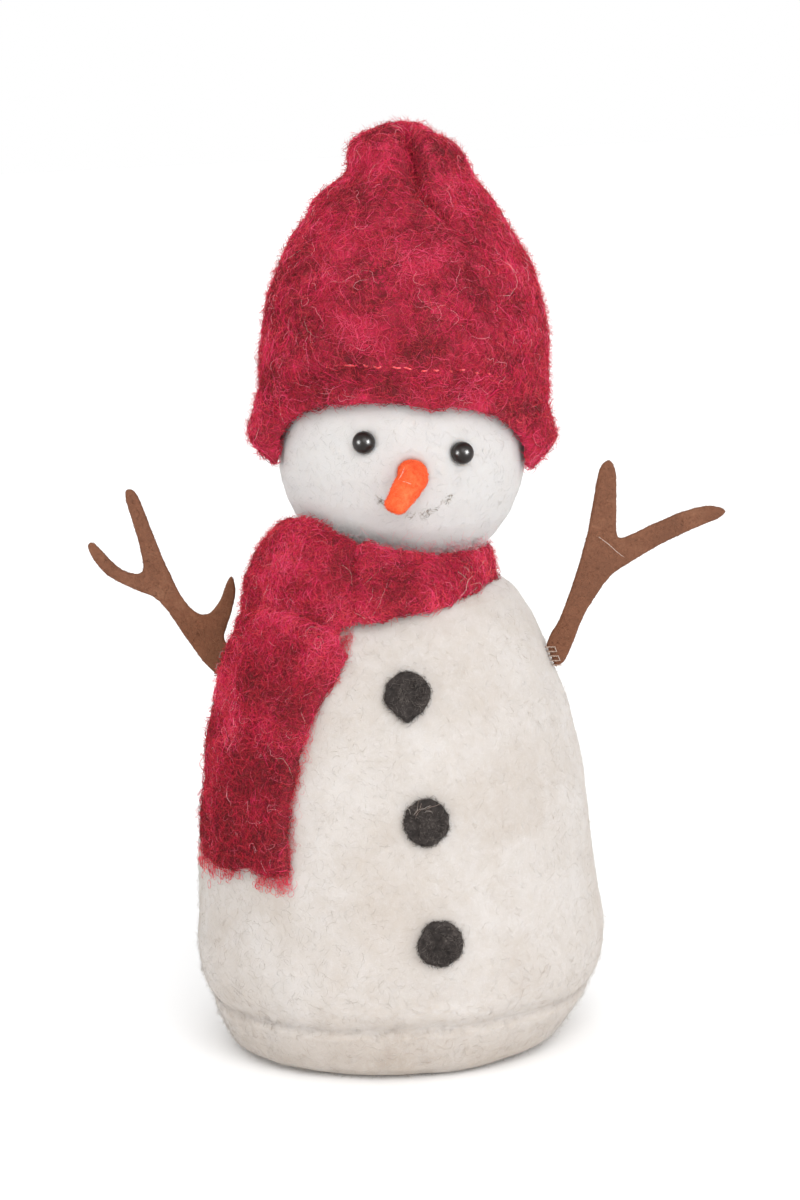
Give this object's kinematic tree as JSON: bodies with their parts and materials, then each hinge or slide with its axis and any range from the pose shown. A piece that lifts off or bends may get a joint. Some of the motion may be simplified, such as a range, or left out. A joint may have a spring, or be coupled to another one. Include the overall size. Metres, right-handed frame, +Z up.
{
  "type": "felt snowman figure",
  "caption": "Standing felted-wool snowman with a tall lift-off hat, a lapped scarf with a hanging tail, bent carrot nose and forked twig arms.",
  "frame": {"origin": "middle of the underside of the base, on the surface that the figure stands on", "axes": "+Z up, -Y the way the figure faces, +X to the right for someone facing it"},
  "size_m": [0.1581, 0.1037, 0.2333],
  "materials": {
    "body_wool": "fuzzy felted cream wool",
    "head_wool": "fine white wool felt",
    "hat_wool": "boiled crimson wool with loose fibres",
    "scarf_wool": "boiled crimson wool with loose fibres",
    "arm_felt": "stiff brown felt",
    "button_felt": "charcoal felt",
    "nose_felt": "orange felt",
    "bead": "polished black",
    "thread_brown": "fine brown sewing thread",
    "thread_red": "bright red sewing thread",
    "thread_pale": "pale sewing thread",
    "foam": "white expanded foam",
    "wadding": "loose white fibre filling",
    "card": "grey-brown board",
    "dowel": "plain sanded wood"
  },
  "bodies": {
    "figure": {"base_cap": "body_wool", "base_card": "card", "body_core": "foam", "body_felt": "body_wool", "neck_peg": "dowel", "head_core": "foam", "head_felt": "head_wool", "eye_bead_left": "bead", "eye_bead_right": "bead", "nose": "nose_felt", "mouth_thread": "thread_brown", "button_top": "button_felt", "button_middle": "button_felt", "button_bottom": "button_felt", "scarf_wrap": "scarf_wool"},
    "hat": {"hat_felt": "hat_wool", "hat_hem_thread": "thread_red", "hat_gather_thread": "thread_red", "hat_wadding": "wadding"},
    "scarf_end": {"scarf_tail": "scarf_wool"},
    "left_arm": {"arm_left": "arm_felt", "arm_left_stitches": "thread_pale"},
    "right_arm": {"arm_right": "arm_felt", "arm_right_stitches": "thread_pale"}
  },
  "joints": [
    {"name": "hat_lift", "type": "slide", "parent": "figure", "child": "hat", "axis": [0.0628, 0, 0.998], "range_m": [0, 0.06]},
    {"name": "scarf_tail_lift", "type": "hinge", "parent": "figure", "child": "scarf_end", "pos_m": [-0.03061, -0.02104, 0.1105], "axis": [-0.5664, 0.8241, 0], "range_deg": [0, 22]},
    {"name": "arm_left_flex", "type": "hinge", "parent": "figure", "child": "left_arm", "pos_m": [-0.04202, 0.00507, 0.0996], "axis": [0.3166, -0.0558, 0.9469], "range_deg": [-30, 30], "stiffness_Nm_per_rad": 0.002},
    {"name": "arm_right_flex", "type": "hinge", "parent": "figure", "child": "right_arm", "pos_m": [0.04005, -0.01478, 0.0985], "axis": [0.3142, -0.0554, -0.9477], "range_deg": [-30, 30], "stiffness_Nm_per_rad": 0.002}
  ]
}
